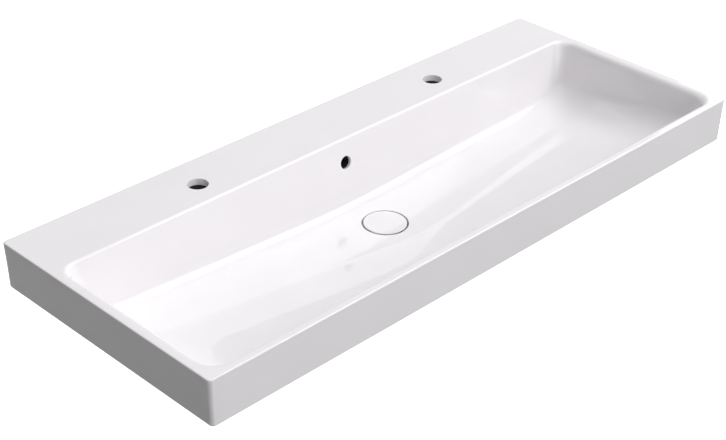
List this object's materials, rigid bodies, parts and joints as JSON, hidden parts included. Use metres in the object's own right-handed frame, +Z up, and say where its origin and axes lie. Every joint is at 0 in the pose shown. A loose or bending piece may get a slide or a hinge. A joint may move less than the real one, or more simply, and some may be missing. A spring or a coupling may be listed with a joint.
{
  "type": "washbasin",
  "caption": "Wide wall-hung ceramic washbasin with a flat tap deck, two tap holes, an overflow and a push-open waste under a flush ceramic cap.",
  "frame": {"origin": "centre of the two wall fixing holes, in the plane of the wall", "axes": "+X along the wall, +Y into the wall, +Z up; the front faces -Y"},
  "size_m": [1.2, 0.48, 0.2179],
  "materials": {
    "white_glaze": "white gloss glaze over fired clay",
    "chromed_brass": "bright chrome plating on turned brass",
    "brass": "turned brass",
    "spring_steel": "drawn stainless wire",
    "black_rubber": "moulded black rubber",
    "white_nylon": "moulded white plastic",
    "grey_nylon": "moulded grey plastic"
  },
  "bodies": {
    "fixture": {"basin": "white_glaze", "waste_barrel": "chromed_brass", "outlet_bell": "chromed_brass", "slip_washer": "white_nylon", "lower_gasket": "black_rubber", "flange_gasket": "black_rubber", "cartridge_body": "white_nylon", "cartridge_collar": "white_nylon", "plunger_o_ring": "black_rubber", "click_spring": "spring_steel"},
    "cap": {"drain_cap": "white_glaze", "cap_carrier": "chromed_brass", "cap_seal": "black_rubber", "plunger": "brass"},
    "latch": {"latch_rotor": "grey_nylon"}
  },
  "joints": [
    {"name": "cap_slide", "type": "slide", "parent": "fixture", "child": "cap", "axis": [0, 0, 1], "range_m": [0, 0.009], "deforming": ["click_spring"]},
    {"name": "latch_turn", "type": "hinge", "parent": "cap", "child": "latch", "pos_m": [0, -0.223, -0.0955], "axis": [0, 0, 1], "range_deg": [0, 45]}
  ],
  "couplings": [
    {"joint": "latch_turn", "follows": "cap_slide", "rad_per_m": 87}
  ]
}
